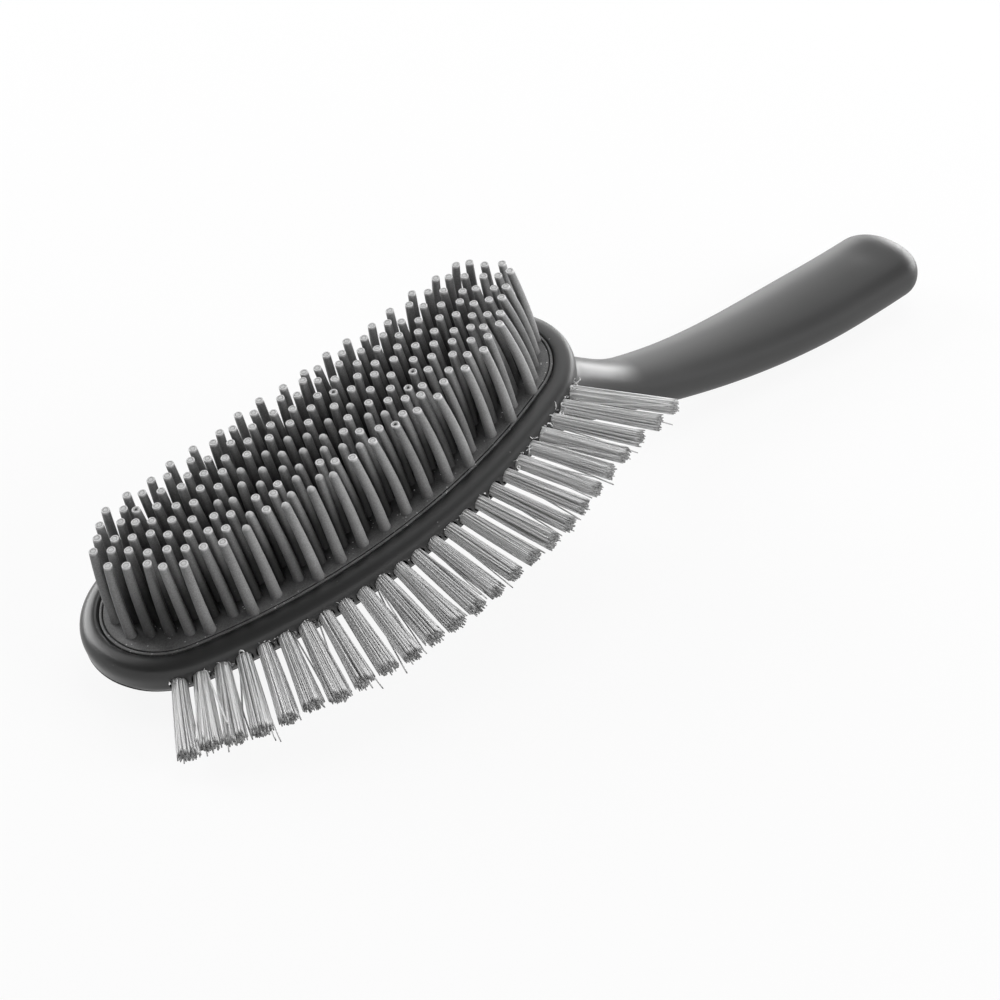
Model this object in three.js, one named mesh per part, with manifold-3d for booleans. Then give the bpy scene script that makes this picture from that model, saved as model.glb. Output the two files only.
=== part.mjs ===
// Upholstery brush: a one-piece moulded body (a D-shaped head and an S-curved handle), a rubber pad of
// tapered pins seated in the head's recess, and a row of nylon tufts, each folded round a wire anchor in a
// drilled hole of the head's convex edge.
//
// The brush is built in the pad's own frame, in millimetres: X runs along the head towards the handle, Y away
// from the tufted edge, Z along the pins, with the pins' feet at Z = 0. At the end it is laid on its back.
import * as THREE from "three";
import { mergeVertices } from "three/addons/utils/BufferGeometryUtils.js";
import Module from "manifold-3d";

const wasm = await Module();
wasm.setup();

// Head, seen from the pins' side
const HEAD_LENGTH = 122.5;
const TUFTED_REACH = 24.9; // from the middle row of pins to the crown of the tufted edge
const STRAIGHT_REACH = 20.6; // from the middle row of pins to the straight edge
const TIP_LEVEL = 2.5; // Y of the head's outermost points at either end
const TUFTED_EDGE_RADIUS = 139;

// Head, in section
const RIM_HEIGHT = 0.8; // rim above the pins' feet
const RIM_ROUND = 2; // radius of the rim's outer edge
const RIM_WIDTH = 4.4; // outer wall to recess
const WALL_DEPTH = 4.5; // pins' feet to where the side wall turns under
const WALL_ROUND = 2.4; // radius of that turn
const WALL_TURN = THREE.MathUtils.degToRad(46); // from the wall to the start of the back's dome
const BACK_DEPTH = 13.2; // pins' feet to the flat middle of the back

// Rubber pad
const PAD_THICKNESS = 1.2;
const PIN_SPACING = 4; // between nearest pins, on a square grid turned by 45 degrees
const PIN_LENGTH = 19.2;
const PIN_FOOT = 2.55;
const PIN_TOP = 2;
const PIN_EDGE = 1.3; // least distance from a pin's axis to the pad's edge
const PIN_SHIFT = 0.9; // grid's middle past the head's middle, towards the handle
const PIN_LEAN_ALONG = 0.02; // tops drawn in towards the grid's middle, as a share of their distance along X
const PIN_LEAN_ACROSS = 0.085; // and along Y

// Tufts and anchors
const TUFTS = 25;
const TUFT_PITCH = 4.44; // along the tufted edge
const TUFT_SHIFT = -0.7; // middle tuft past the head's middle, along the edge
const TUFT_DEPTH = 4.1; // pins' feet to the holes' axes at the side wall
const TUFT_DROOP = THREE.MathUtils.degToRad(5); // tufts point away from the pins by this much
const TUFT_FAN = 1.5; // how much wider than the edge's own normals the tufts fan out
const TUFT_LENGTH = 17.6; // out of the wall
const TUFT_FLARE = 1.45; // spread of the strands at the tip against the root
const HOLE_DIAMETER = 3.8;
const HOLE_DEPTH = 5.6;
const STRAND_RADIUS = 0.36;
const STRAND_RINGS = [
  { count: 9, radius: 1.24 },
  { count: 3, radius: 0.44 },
];
const ANCHOR_THICKNESS = 0.4;
const ANCHOR_HEIGHT = 1.6;

// Handle: its spine is a cubic curve from inside the head to the handle's end
const SPINE_SETBACK = 51; // from the head's end back to the spine's root
const SPINE_ROOT_DEPTH = 7.5;
const SPINE_LEAD_OUT = 50; // how far the spine keeps level with the pad
const HANDLE_REACH = 112.8; // past the head's end
const HANDLE_DROP = 55; // below the pins' feet, at the handle's end
const END_RUN = 103.5; // length of the end's tangent, along X
const END_RISE = 10; // and its fall, along Z
const ROOT_WIDTH = 32;
const ROOT_THICKNESS = 9;
const NECK_RUN = 61; // along the spine, from its root to the neck
const NECK_WIDTH = 15.5;
const NECK_THICKNESS = 12;
const THROAT_START = 44; // along the spine, where the neck's top starts to fall from the head's end
const THROAT_END = 66;
const THROAT_RISE = 8; // height of that fall
const GRIP_RUN = 142; // along the spine, from its root to the widest place
const GRIP_WIDTH = 24.5;
const GRIP_THICKNESS = 13.6;
const END_ROUND = 11; // length of the rounded end
const OVAL_POWER = 2.3; // 2 is an ellipse

const CLEARANCE = 0.3; // between pieces that seat in one another

// Fineness of the facets
const CORNER_STEPS = 7;
const EDGE_STEPS = 24;
const RIM_STEPS = 4;
const WALL_STEPS = 2;
const BACK_STEPS = 5;
const SPINE_STEPS = 22;
const END_STEPS = 6;
const OVAL_SIDES = 20;
const PIN_SIDES = 6;
const HOLE_SIDES = 10;
const STRAND_SIDES = 3;

const { lerp, smoothstep } = THREE.MathUtils;
const Y = new THREE.Vector3(0, 1, 0);
const Z = new THREE.Vector3(0, 0, 1);

// Solids

function solidOf(geometry) {
  const bare = geometry.clone().deleteAttribute("normal").deleteAttribute("uv");
  const merged = mergeVertices(bare, 1e-4);
  const mesh = new wasm.Mesh({
    numProp: 3,
    vertProperties: merged.attributes.position.array,
    triVerts: new Uint32Array(merged.index.array),
  });
  return new wasm.Manifold(mesh);
}

function geometryOf(solid) {
  const mesh = solid.getMesh();
  const geometry = new THREE.BufferGeometry();
  geometry.setAttribute("position", new THREE.BufferAttribute(mesh.vertProperties, 3));
  geometry.setIndex(new THREE.BufferAttribute(mesh.triVerts, 1));
  return geometry;
}

// A closed skin through rings of equally many points, which run anticlockwise seen from the last ring.
function loft(rings) {
  const sides = rings[0].length;
  const last = (rings.length - 1) * sides;
  const index = [];
  for (let ring = 0; ring < rings.length - 1; ring++) {
    for (let side = 0; side < sides; side++) {
      const a = ring * sides + side;
      const b = ring * sides + ((side + 1) % sides);
      index.push(a, b, b + sides, a, b + sides, a + sides);
    }
  }
  for (let side = 1; side < sides - 1; side++) {
    index.push(0, side + 1, side);
    index.push(last, last + side, last + side + 1);
  }
  const geometry = new THREE.BufferGeometry().setFromPoints(rings.flat());
  geometry.setIndex(index);
  return solidOf(geometry);
}

// A straight tapered bar between two points.
function bar(from, to, fromRadius, toRadius, sides) {
  const along = to.clone().sub(from);
  const geometry = new THREE.CylinderGeometry(toRadius, fromRadius, along.length(), sides);
  geometry.applyQuaternion(new THREE.Quaternion().setFromUnitVectors(Y, along.clone().normalize()));
  geometry.translate(...from.clone().add(to).multiplyScalar(0.5));
  return solidOf(geometry);
}

function box(low, high) {
  const size = high.clone().sub(low);
  const geometry = new THREE.BoxGeometry(...size);
  geometry.translate(...low.clone().add(high).multiplyScalar(0.5));
  return solidOf(geometry);
}

// Head outline: a straight edge, two far corners, two near corners and the tufted arc, all tangent

const headEnd = HEAD_LENGTH / 2;
const farCorner = STRAIGHT_REACH - TIP_LEVEL;
const edgeCentre = TUFTED_EDGE_RADIUS - TUFTED_REACH;
const nearCorner =
  (TUFTED_EDGE_RADIUS ** 2 - headEnd ** 2 - (edgeCentre - TIP_LEVEL) ** 2) /
  (2 * (TUFTED_EDGE_RADIUS - headEnd));
const nearCornerX = headEnd - nearCorner;
const farCornerX = headEnd - farCorner;
const edgeAngle = Math.atan2(nearCornerX, edgeCentre - TIP_LEVEL); // half the arc, from its middle

function outline(inset, z) {
  const down = -Math.PI / 2;
  const arcs = [
    [-farCornerX, TIP_LEVEL, farCorner, Math.PI / 2, Math.PI, CORNER_STEPS],
    [-nearCornerX, TIP_LEVEL, nearCorner, Math.PI, 2 * Math.PI + down - edgeAngle, CORNER_STEPS],
    [0, edgeCentre, TUFTED_EDGE_RADIUS, down - edgeAngle, down + edgeAngle, EDGE_STEPS],
    [nearCornerX, TIP_LEVEL, nearCorner, down + edgeAngle, 0, CORNER_STEPS],
    [farCornerX, TIP_LEVEL, farCorner, 0, Math.PI / 2, CORNER_STEPS],
  ];
  const points = [];
  for (const [x, y, radius, from, to, steps] of arcs) {
    const reach = radius - inset;
    for (let step = points.length === 0 ? 0 : 1; step <= steps; step++) {
      const angle = lerp(from, to, step / steps);
      points.push(new THREE.Vector3(x + reach * Math.cos(angle), y + reach * Math.sin(angle), z));
    }
  }
  return points;
}

function isInside(point, ring) {
  return ring.every((corner, i) => {
    const next = ring[(i + 1) % ring.length];
    return (next.x - corner.x) * (point.y - corner.y) > (next.y - corner.y) * (point.x - corner.x);
  });
}

// Brush body

// The head's profile, from the middle of its back up to its rim: how far in from the wall, and how high.
function headProfile() {
  const turnInset = WALL_ROUND * (1 - Math.cos(WALL_TURN));
  const turnDepth = WALL_DEPTH + WALL_ROUND * Math.sin(WALL_TURN);
  const domeDepth = BACK_DEPTH - turnDepth;
  const domeInset = 2 * domeDepth * Math.tan(WALL_TURN); // so that the dome is tangent to the turn
  const profile = [];
  for (let step = 0; step < BACK_STEPS; step++) {
    const toMiddle = 1 - step / BACK_STEPS;
    profile.push([turnInset + domeInset * toMiddle, -turnDepth - domeDepth * toMiddle * (2 - toMiddle)]);
  }
  for (let step = 0; step <= WALL_STEPS; step++) {
    const angle = WALL_TURN * (1 - step / WALL_STEPS);
    profile.push([WALL_ROUND * (1 - Math.cos(angle)), -WALL_DEPTH - WALL_ROUND * Math.sin(angle)]);
  }
  for (let step = 0; step <= RIM_STEPS; step++) {
    const angle = ((Math.PI / 2) * step) / RIM_STEPS;
    profile.push([RIM_ROUND * (1 - Math.cos(angle)), RIM_HEIGHT - RIM_ROUND * (1 - Math.sin(angle))]);
  }
  return profile;
}

function head() {
  return loft(headProfile().map(([inset, z]) => outline(inset, z)));
}

const spine = new THREE.CubicBezierCurve3(
  new THREE.Vector3(headEnd - SPINE_SETBACK, 0, -SPINE_ROOT_DEPTH),
  new THREE.Vector3(headEnd - SPINE_SETBACK + SPINE_LEAD_OUT, 0, -SPINE_ROOT_DEPTH),
  new THREE.Vector3(headEnd + HANDLE_REACH - END_RUN, 0, END_RISE - HANDLE_DROP),
  new THREE.Vector3(headEnd + HANDLE_REACH, 0, -HANDLE_DROP),
);

// Width or thickness of the handle at a distance along its spine.
function swell(run, root, neck, grip) {
  if (run < NECK_RUN) return lerp(root, neck, smoothstep(run, 0, NECK_RUN));
  return lerp(neck, grip, smoothstep(run, NECK_RUN, GRIP_RUN));
}

function handle() {
  const length = spine.getLength();
  const straight = length - END_ROUND;
  const stations = [];
  for (let step = 0; step <= SPINE_STEPS; step++) {
    stations.push({ run: (straight * step) / SPINE_STEPS, full: 1 });
  }
  for (let step = 1; step <= END_STEPS; step++) {
    const angle = ((step / (END_STEPS + 0.35)) * Math.PI) / 2;
    stations.push({ run: straight + END_ROUND * Math.sin(angle), full: Math.cos(angle) });
  }
  const rings = stations.map(({ run, full }) => {
    const centre = spine.getPointAt(run / length);
    const across = Y.clone().cross(spine.getTangentAt(run / length)).negate();
    const halfWidth = (full * swell(run, ROOT_WIDTH, NECK_WIDTH, GRIP_WIDTH)) / 2;
    const under = (full * swell(run, ROOT_THICKNESS, NECK_THICKNESS, GRIP_THICKNESS)) / 2;
    const fall = smoothstep(run, 0, THROAT_START) - smoothstep(run, THROAT_START, THROAT_END);
    const over = under + THROAT_RISE * fall;
    return oval(centre, halfWidth, over, under, across);
  });
  return loft(rings);
}

function oval(centre, halfWidth, over, under, across) {
  const squared = (value) => Math.sign(value) * Math.abs(value) ** (2 / OVAL_POWER);
  const points = [];
  for (let side = 0; side < OVAL_SIDES; side++) {
    const angle = ((side + 0.5) / OVAL_SIDES) * 2 * Math.PI;
    const point = centre.clone();
    point.addScaledVector(Y, halfWidth * squared(Math.cos(angle)));
    point.addScaledVector(across, (angle < Math.PI ? over : under) * squared(Math.sin(angle)));
    points.push(point);
  }
  return points;
}

function recess() {
  const floor = -PAD_THICKNESS - CLEARANCE;
  return loft([outline(RIM_WIDTH, floor), outline(RIM_WIDTH, RIM_HEIGHT + RIM_ROUND)]);
}

// Where each tuft leaves the wall, and which way it points.
function tuftSeats() {
  const seats = [];
  for (let i = 0; i < TUFTS; i++) {
    const run = (i - (TUFTS - 1) / 2) * TUFT_PITCH + TUFT_SHIFT;
    const round = run / TUFTED_EDGE_RADIUS;
    const fan = TUFT_FAN * round;
    const place = new THREE.Vector3(
      TUFTED_EDGE_RADIUS * Math.sin(round),
      edgeCentre - TUFTED_EDGE_RADIUS * Math.cos(round),
      -TUFT_DEPTH,
    );
    const direction = new THREE.Vector3(Math.sin(fan), -Math.cos(fan), -Math.tan(TUFT_DROOP)).normalize();
    const level = Z.clone().cross(direction).normalize();
    const turn = new THREE.Matrix4().makeBasis(level, direction.clone().cross(level), direction);
    seats.push({ place, direction, turn });
  }
  return seats;
}

function body(seats) {
  const holes = seats.map(({ place, direction }) => {
    const mouth = place.clone().addScaledVector(direction, HOLE_DIAMETER);
    const end = place.clone().addScaledVector(direction, -HOLE_DEPTH);
    return bar(end, mouth, HOLE_DIAMETER / 2, HOLE_DIAMETER / 2, HOLE_SIDES);
  });
  const cuts = wasm.Manifold.union([recess(), ...holes]);
  return head().add(handle()).subtract(cuts);
}

// Rubber pad

function pinPlaces() {
  const step = PIN_SPACING / Math.SQRT2;
  const reach = outline(RIM_WIDTH + CLEARANCE + PIN_EDGE, 0);
  const most = Math.ceil(HEAD_LENGTH / step);
  const places = [];
  for (let row = -most; row <= most; row++) {
    for (let column = -most; column <= most; column++) {
      const place = new THREE.Vector3(column * step + PIN_SHIFT, row * step, 0);
      const isOnGrid = (row + column) % 2 !== 0;
      if (isOnGrid && isInside(place, reach)) places.push(place);
    }
  }
  return places;
}

function pad() {
  const edge = RIM_WIDTH + CLEARANCE;
  const sheet = loft([outline(edge, -PAD_THICKNESS), outline(edge, 0)]);
  const pins = pinPlaces().map((place) => {
    const foot = place.clone().addScaledVector(Z, -PAD_THICKNESS / 3);
    const top = place.clone().addScaledVector(Z, PIN_LENGTH);
    top.x -= PIN_LEAN_ALONG * (place.x - PIN_SHIFT);
    top.y -= PIN_LEAN_ACROSS * place.y;
    return bar(foot, top, PIN_FOOT / 2, PIN_TOP / 2, PIN_SIDES);
  });
  return wasm.Manifold.union([sheet, ...pins]);
}

// One tuft along its own +Z, with the wall's face at zero: the folded root, split over its anchor, and strands

const rootEnd = CLEARANCE - HOLE_DEPTH;
const rootRadius = HOLE_DIAMETER / 2 - CLEARANCE;

function tuft() {
  const root = bar(Z.clone().multiplyScalar(rootEnd), new THREE.Vector3(), rootRadius, rootRadius, HOLE_SIDES);
  const slit = box(
    new THREE.Vector3(-HOLE_DIAMETER, -ANCHOR_THICKNESS / 2 - CLEARANCE, -HOLE_DEPTH),
    new THREE.Vector3(HOLE_DIAMETER, ANCHOR_THICKNESS / 2 + CLEARANCE, rootEnd + ANCHOR_HEIGHT + CLEARANCE),
  );
  const strands = STRAND_RINGS.flatMap(({ count, radius }) =>
    Array.from({ length: count }, (_, i) => {
      const angle = (i / count) * 2 * Math.PI;
      const foot = new THREE.Vector3(radius * Math.cos(angle), radius * Math.sin(angle), 0);
      const tip = foot.clone().multiplyScalar(TUFT_FLARE).addScaledVector(Z, TUFT_LENGTH);
      foot.addScaledVector(Z, -STRAND_RADIUS);
      return bar(foot, tip, STRAND_RADIUS, STRAND_RADIUS, STRAND_SIDES);
    }),
  );
  return wasm.Manifold.union([root.subtract(slit), ...strands]);
}

function anchor() {
  const halfLength = rootRadius;
  return box(
    new THREE.Vector3(-halfLength, -ANCHOR_THICKNESS / 2, rootEnd),
    new THREE.Vector3(halfLength, ANCHOR_THICKNESS / 2, rootEnd + ANCHOR_HEIGHT),
  );
}

// Lying on its back: the longest edge under the body's side view is the line it rests on

function restTilt(geometry) {
  const position = geometry.getAttribute("position");
  const points = [];
  for (let i = 0; i < position.count; i++) points.push(new THREE.Vector3().fromBufferAttribute(position, i));
  points.sort((a, b) => a.x - b.x || a.z - b.z);
  const under = [];
  for (const point of points) {
    while (under.length > 1) {
      const [a, b] = under.slice(-2);
      if ((b.x - a.x) * (point.z - a.z) > (b.z - a.z) * (point.x - a.x)) break;
      under.pop();
    }
    under.push(point);
  }
  const edges = under.slice(1).map((to, i) => to.clone().sub(under[i]));
  edges.sort((a, b) => b.x - a.x);
  return Math.atan2(edges[0].z, edges[0].x);
}

// The brush

const finishes = {
  body: new THREE.MeshStandardMaterial({ color: 0x3c3c3e, roughness: 0.45 }),
  pad: new THREE.MeshStandardMaterial({ color: 0x6b6b6c, roughness: 0.8 }),
  tuft: new THREE.MeshStandardMaterial({ color: 0xa4a4a3, roughness: 0.5 }),
  anchor: new THREE.MeshStandardMaterial({ color: 0xb4b6b8, roughness: 0.35, metalness: 1 }),
};

const seats = tuftSeats();
const bodyGeometry = geometryOf(body(seats));
const tuftGeometry = geometryOf(tuft());
const anchorGeometry = geometryOf(anchor());

function named(name, geometry, finish) {
  const mesh = new THREE.Mesh(geometry, finish);
  mesh.name = name;
  return mesh;
}

const brush = new THREE.Group();
brush.add(named("brush_body", bodyGeometry, finishes.body));
brush.add(named("pin_pad", geometryOf(pad()), finishes.pad));
seats.forEach(({ place, turn }, i) => {
  const number = String(i + 1).padStart(2, "0");
  const seat = new THREE.Group();
  seat.position.copy(place);
  seat.quaternion.setFromRotationMatrix(turn);
  seat.add(named(`tuft_${number}`, tuftGeometry, finishes.tuft));
  seat.add(named(`anchor_${number}`, anchorGeometry, finishes.anchor));
  brush.add(seat);
});

brush.rotation.y = restTilt(bodyGeometry);
const extent = new THREE.Box3().setFromObject(brush, true);
const middle = extent.getCenter(new THREE.Vector3());
brush.position.set(-middle.x, -middle.y, -extent.min.z);

const part = new THREE.Group();
part.add(brush);
export default part;
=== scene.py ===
"""An upholstery brush on its back: a moulded body, a rubber pad of pins, nylon tufts, wire anchors.

Pieces are shaped in the pad's own frame, in millimetres: X along the head towards the handle, Y away
from the tufted edge, Z along the pins, with the pins' feet at Z = 0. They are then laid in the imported
frame, in metres.
"""
import math

import bpy
import numpy as np
from mathutils import Matrix, Vector


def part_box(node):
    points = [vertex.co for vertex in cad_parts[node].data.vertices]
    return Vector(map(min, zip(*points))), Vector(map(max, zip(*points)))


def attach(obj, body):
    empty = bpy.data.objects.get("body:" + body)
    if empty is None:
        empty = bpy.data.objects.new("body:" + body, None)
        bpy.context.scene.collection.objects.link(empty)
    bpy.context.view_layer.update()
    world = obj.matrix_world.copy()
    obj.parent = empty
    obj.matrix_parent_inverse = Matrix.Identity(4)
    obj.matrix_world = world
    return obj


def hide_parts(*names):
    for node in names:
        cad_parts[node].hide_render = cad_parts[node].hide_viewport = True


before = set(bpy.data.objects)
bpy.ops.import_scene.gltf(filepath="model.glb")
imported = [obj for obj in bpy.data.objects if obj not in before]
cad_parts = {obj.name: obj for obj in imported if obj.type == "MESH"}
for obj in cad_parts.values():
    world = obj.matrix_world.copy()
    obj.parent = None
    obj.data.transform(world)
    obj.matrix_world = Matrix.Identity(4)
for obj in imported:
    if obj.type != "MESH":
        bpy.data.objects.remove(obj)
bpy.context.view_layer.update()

MILLIMETRE = 0.001
FULL_TURN = 2 * math.pi
SEED = 20
CLEARANCE = 0.3  # between pieces that seat in one another

# Head, seen from the pins' side
HEAD_LENGTH = 122.5
TUFTED_REACH = 24.9  # from the middle row of pins to the crown of the tufted edge
STRAIGHT_REACH = 20.6  # and to the straight edge
TIP_LEVEL = 2.5  # Y of the head's outermost points at either end
TUFTED_EDGE_RADIUS = 139.0
CORNER_STEPS = 20
EDGE_STEPS = 60

# Head, in section
RIM_HEIGHT = 0.25  # over the pins' feet
RIM_WIDTH = 4.4
RIM_CREST = 3.7  # from the wall in to the rim's highest line
RIM_SHOULDER = 3.3  # from that line's height down to the wall's flat strip
RIM_POWER = 2.4  # of the rim's section between them, over 2 for a flat top with a tight turn
RIM_INNER_DROP = 0.05  # fall of the rim from its crest to its inner edge
RIM_INNER_ROUND = 0.5  # of that edge
RIM_INNER_SLOPE = math.radians(62)  # of the side under the sheet's edge
WALL_DEPTH = 4.5  # under the pins' feet, where the wall turns under
WALL_ROUND = 2.4
WALL_TURN = math.radians(46)
BACK_DEPTH = 13.2
INNER_STEPS = 10
CREST_STEPS = 13
SHOULDER_STEPS = 25
TURN_STEPS = 21
DOME_STEPS = 25

# Bead that the mould's parting line left along the foot of the wall
PARTING_RADIUS = 0.18
PARTING_SIDES = 6
PARTING_TURN = math.radians(18)  # how far round that foot the bead lies
PARTING_DIP = (-12.5, -5.0)  # Y between which it dips, to pass under the tufts

# Sheet of the rubber pad
PAD_THICKNESS = 1.2
PAD_SHARP = math.radians(40)  # turn over which an edge of the pad stays sharp
LIP_WIDTH = 0.55
LIP_ROUND = 0.15
LIP_ROUND_MIDDLE = 0.05
GROOVE_WIDTH = 0.3
GROOVE_DEPTH = 0.4
GROOVE_BEVEL = 0.1
GROOVE_SHADE_DEPTH = 0.2  # depth under which the groove is painted near black, as shade

# Pins
PIN_SPACING = 4.0
PIN_LENGTH = 19.6
PIN_LENGTH_CHANGE = 0.12
PIN_GROWTH = 0.009  # of a pin's length, for each millimetre towards the handle
PIN_FOOT = 2.35
PIN_TOP = 1.72
PIN_EDGE = 1.3  # least distance from a pin's axis to the pad's edge
PIN_SHIFT = 0.9  # grid's middle past the head's middle, towards the handle
PIN_SIDES = 20
PIN_BEND = 0.35  # share of a pin's lean that is straight, where the rest is a bend
PIN_STEM = [  # share of the pin's length, and how much wider than its taper it is there
    (-0.03, 1.12),
    (0, 1.08),
    (0.012, 1.03),
    (0.03, 1.01),
    (0.08, 1),
    (0.2, 1),
    (0.35, 1),
    (0.5, 1),
    (0.65, 1),
    (0.8, 1),
    (0.9, 1),
    (0.96, 1),
]
PIN_TOP_RINGS = [  # share of the top's radius, height, how pale it is, and how pale where it is worn; that paleness is partly the cut rubber's tone and partly painted light from above
    (0.995, -0.04, 0.9, 0.1),
    (0.96, 0, 1, 0.3),
    (0.72, 0, 1, 0.5),
    # On flat tops the ring in the dip is painted dark, as shade
    (0.62, -0.1, 0.25, 0.55),
    (0.48, -0.04, 0.75, 0.6),
    (0.12, -0.04, 0.75, 0.6),
]

# Lean of the pins' tops: for each millimetre of a foot's distance from the grid's middle, or from a start
LEAN_TO_TIP = -0.55  # of every pin, along X
LEAN_ALONG = -0.017
LEAN_ALONG_END = 30.0  # X past which it grows no more
LEAN_ACROSS = -0.03
LEAN_ACROSS_CUBED = -0.00036
TIP_LEAN_START = 36.0
TIP_LEAN_SQUARED = 0.006
TUFTED_LEAN = -0.05
TUFTED_LEAN_RISE = (-25, 25)  # X between which it grows
STRAIGHT_LEAN_START = 6.0
STRAIGHT_LEAN = 0.22
STRAIGHT_LEAN_RISE = (10, 45)
CORNER_LEAN_START = 36.0  # at the corner between the tufts and the handle
CORNER_LEAN_ALONG = -0.23
CORNER_LEAN_ACROSS = 0.2
CORNER_LEAN_RISE = (-6, 12)  # depth from the middle row towards the tufts, between which it grows
LEAN_CHANGE = 0.28

# Wear on the pins, and the painted shade among them and at their feet
WORN_X = -11.0  # middle and half sizes of the patch of pins whose tops are worn round
WORN_Y = -8.2
WORN_HALF_LENGTH = 22.0
WORN_HALF_WIDTH = 9.5
WORN_SHARE = 0.72
WORN_DOME = 0.9  # height of a worn top, for a half ball's 1
PITTED_SHARE = 0.02
PIT_DEPTH = 1.2
PIT_EDGE = 0.9  # radii of a pitted top's two inmost rings, for the other tops' 1
PIT_FLOOR = 2.5
PAINTED_SHADE_START = 6.5  # from the outline in, between which the painted shade among the pins deepens
PAINTED_SHADE_FULL = 11.0
PAINTED_SHADE_FADE = (0.3, 0.98)  # shares of a pin's height between which that painted shade fades out
FOOT_PAINTED_SHADE = 0.4  # painted shade at every pin's foot
FOOT_PAINTED_SHADE_REACH = 0.3

# Tufts
TUFTS = 25
TUFT_PITCH = 4.44
TUFT_SHIFT = -0.7
TUFT_DEPTH = 4.1
TUFT_DROOP = math.radians(5)
TUFT_FAN = 1.5  # how much wider than the edge's own normals the tufts fan out
TUFT_LENGTH = 18.4
TUFT_LENGTH_CHANGE = 0.25
HANDLE_TUFTS = 3  # tufts over which the row grows to its longest, at the handle
HANDLE_TUFT_EXTRA = 3.9
HANDLE_TUFT_POWER = 1.5
TIP_TUFTS = 7  # tufts over which it shortens, at the tip
TIP_TUFT_CUT = 2.3
LEANING_TUFTS = 2  # tufts over which the lean along the edge, at its tip end, fades
FIRST_TUFT_LEAN = 1.2
TIP_TUFT_SPLAY = 0.52  # how much wider, along the edge, a tuft is at its end
HANDLE_TUFT_SPLAY = 0.1
HOLE_DIAMETER = 3.8
HOLE_DEPTH = 5.6
HOLE_SIDES = 28
ANCHOR_HEIGHT = 1.6

# Filaments of a tuft
FILAMENTS = 84
FILAMENT_RADIUS = 0.17
FILAMENT_RADIUS_RANGE = (0.85, 1.12)
FILAMENT_SIDES = 6
FILAMENT_RINGS = [  # share of the filament's length, and of its radius
    (0, 1),
    (0.1, 1),
    (0.3, 1),
    (0.5, 1),
    (0.75, 1),
    (0.955, 1),
    (1, 0.75),
]
FILAMENT_TURN = 0.1  # how far each is off its place in the bundle
FILAMENT_SPREAD = 0.1  # and off its place at the tuft's end
FILAMENT_BOW = 0.1
FILAMENT_OPENING = 1.15  # power by which a tuft opens along its length
FILAMENT_LENGTH_CHANGE = 0.24
CROWN = 0.25  # how much shorter the outer filaments are
SPLAY_RANGE = (0.8, 1.2)  # share of its splay that a tuft has
RISE_RANGE = (0.05, 0.15)  # how much wider, across the edge, a tuft is at its end
PARTING_SHIFT = 0.4  # how far from its middle a tuft parts in two
PARTING_GAP = 0.28
STRAY_SHARE = 0.05
STRAY_SPREAD = 1.2
STRAY_OUT = 0.5
STRAY_LENGTH_CHANGE = 0.6
# How dark a filament's cut end is painted, as shade
END_PAINTED_SHADE = (0.6, 1)

# Burrs that the drill left round the holes
BURRED_TUFTS = 6  # at either end of the row, with more burrs
BURR_COUNT = (0, 4)  # the fewest at a hole, and one more than the most
HANDLE_BURRS = 12
TIP_BURRS = 6
BURR_RINGS = 9
BURR_SIDES = 5
BURR_ARC = (-0.3, math.pi + 0.3)  # stretch of the hole's edge that has burrs
BURR_START = (-0.05, 0.5)  # from that edge out
BURR_ROOT = 0.1  # under the wall's face
BURR_OUTWARD = (0.2, 1)
BURR_UPWARD = (0, 0.6)
BURR_WANDER = 0.5
BURR_TURN = 0.55
BURR_LIFT = 0.07
BURR_LENGTH = (0.4, 1.2)
LONG_BURR_LENGTH = (1.6, 3.6)
LONG_BURR_SHARE = 0.12
HANDLE_LONG_BURR_SHARE = 0.3
BURR_RADIUS = (0.07, 0.13)
BURR_TAPER = (0.35, math.pi - 0.25)  # stretch of a sine wave that its thickness follows
BURR_WIDTH = 1.6  # how flat it is: its width and thickness for a round one's 1
BURR_THICKNESS = 0.5
BURR_TILT = 0.01  # keeps the axis of its curl off its path

# Handle
SPINE_SETBACK = 51.0  # from the head's end back to the root of the handle's spine
SPINE_ROOT_DEPTH = 7.5
SPINE_LEAD_OUT = 50.0  # how far the spine keeps level with the pad
SPINE_STEPS = 260
HANDLE_REACH = 113.3
HANDLE_DROP = 55.0
END_RUN = 103.5  # length of the end's tangent along X, and its fall along Z
END_RISE = 10.0
ROOT_WIDTH = 32.0
ROOT_THICKNESS = 9.0
NECK_RUN = 61.7  # along the spine, from its root
NECK_WIDTH = 13.4
NECK_THICKNESS = 11.4
NECK_BULGE = 1.0  # how much fuller the neck is on the tufted side
BULGE_START = 40.0  # where, along the spine, that starts, is most and ends
BULGE_MOST = 80.0
BULGE_END = 135.0
NECK_FLARE = 57.0  # radius of the neck's sides, in plan, where they spread to the head
THROAT_START = 40.0  # along the spine, where the neck's top falls from the head's end
THROAT_END = 71.5
THROAT_RISE = 6.1
GRIP_RUN = 142.0
GRIP_WIDTH = 23.9
GRIP_THICKNESS = 13.6
END_ROUND = 9.5
OVAL_POWER = 2.3  # of the handle's section, 2 for an ellipse
SINK_RUN = 158.5  # middle of the shallow sink mark on the handle's end
SINK_Y = -0.5
SINK_RADIUS = 4.5
SINK_DEPTH = 0.3
NECK_FILLET = 6.0
FILLET_LEAST = 0.2
FILLET_START = 6.0  # depths between which that fillet grows to its full size
FILLET_FULL = 12.0

# Fineness of the body's skin, and the room round the body that its fields take in
VOXEL = 0.55
SECTION_STEP = 0.1
FIELD_MARGIN = 3.0
FIELD_UNDER = 11.0
SIDE_MARGIN = 1.0
SECTION_OUT = 8.0
SECTION_IN = 32.0
SECTION_UNDER = 9.0
SECTION_OVER = 6.0
LAST_CELL = 1.001  # just inside the end of a table
SETTLE_STEPS = 3
SETTLE_REACH = 0.02
LEAST_SLOPE = 0.2
BODY_SHARP = math.radians(50)  # turn over which an edge of the body stays sharp

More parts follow.
